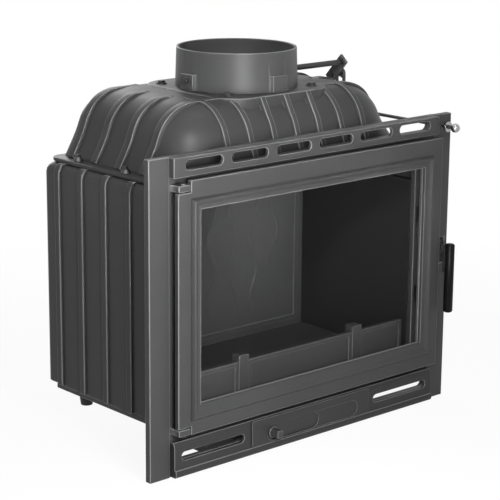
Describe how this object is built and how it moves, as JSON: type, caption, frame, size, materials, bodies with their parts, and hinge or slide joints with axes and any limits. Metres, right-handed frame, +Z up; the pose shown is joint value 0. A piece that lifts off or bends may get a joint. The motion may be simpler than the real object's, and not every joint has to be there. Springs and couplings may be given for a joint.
{
  "type": "fireplace insert",
  "caption": "Cast-iron fireplace insert: glazed side-hung door in a flat grilled frame, ribbed firebox behind, domed hood with flue collar and damper, air slider below.",
  "frame": {"origin": "under the middle of the insert's bounding box, on the surface it stands on", "axes": "+X to the right of a person facing the door, +Y back into the hearth, +Z up"},
  "size_m": [0.666, 0.3772, 0.6337],
  "materials": {
    "cast_iron": "matt dark grey stove paint on sand-cast iron",
    "firebox_iron": "bare dark casting, matt",
    "steel": "plain steel, slightly darkened",
    "chrome": "polished chrome",
    "black_grip": "satin black",
    "glass": "clear glass ceramic",
    "seal_rope": "dark braided glass-fibre rope"
  },
  "bodies": {
    "root": {"front_frame": "cast_iron", "grille_plate": "cast_iron", "lower_panel": "cast_iron", "air_plate": "cast_iron", "side_casting_left": "cast_iron", "side_casting_right": "cast_iron", "back_casting": "cast_iron", "base_plate": "cast_iron", "rear_foot_left": "cast_iron", "rear_foot_right": "cast_iron", "air_box": "firebox_iron", "ash_pan": "steel", "grate": "firebox_iron", "side_liner_left": "firebox_iron", "side_liner_right": "firebox_iron", "back_liner": "firebox_iron", "baffle_plate": "firebox_iron", "log_retainer": "firebox_iron", "hood": "cast_iron", "lip_bolt_front_left": "steel", "lip_bolt_front_right": "steel", "lip_bolt_rear_left": "steel", "lip_bolt_rear_right": "steel", "flue_collar": "cast_iron", "collar_bolt_front_left": "steel", "collar_bolt_front_right": "steel", "collar_bolt_rear_left": "steel", "collar_bolt_rear_right": "steel", "hinge_pin_upper": "steel", "hinge_pin_lower": "steel", "latch_keeper": "steel"},
    "door": {"door_frame": "cast_iron", "door_glass": "glass", "glass_seal": "seal_rope", "door_seal": "seal_rope", "glass_clip_lower_left": "steel", "glass_clip_lower_right": "steel", "glass_clip_upper_left": "steel", "glass_clip_upper_right": "steel", "handle_bracket": "cast_iron"},
    "handle": {"handle_lever": "firebox_iron", "handle_grip": "black_grip"},
    "air_control": {"air_slider": "firebox_iron", "slider_knob": "cast_iron"},
    "damper": {"damper_shaft": "steel", "damper_flap": "firebox_iron", "crank_arm": "cast_iron", "crank_bolt": "steel"},
    "damper_pull": {"pull_rod": "steel", "rod_ring": "chrome", "ball_knob": "chrome"}
  },
  "joints": [
    {"name": "door_hinge", "type": "hinge", "parent": "root", "child": "door", "pos_m": [-0.28, -0.16187, 0.27], "axis": [0, 0, -1], "range_deg": [0, 110]},
    {"name": "handle_lift", "type": "hinge", "parent": "door", "child": "handle", "pos_m": [0.3049, -0.15937, 0.276], "axis": [-1, 0, 0], "range_deg": [0, 50]},
    {"name": "air_slide", "type": "slide", "parent": "root", "child": "air_control", "axis": [1, 0, 0], "range_m": [0, 0.09]},
    {"name": "damper_turn", "type": "hinge", "parent": "root", "child": "damper", "pos_m": [0, 0.03513, 0.585], "axis": [-1, 0, 0], "range_deg": [0, 80]},
    {"name": "damper_pull_slide", "type": "slide", "parent": "root", "child": "damper_pull", "axis": [0, -1, 0], "range_m": [0, 0.045]}
  ],
  "couplings": [
    {"joint": "damper_pull_slide", "follows": "damper_turn", "m_per_rad": 0.032206}
  ]
}
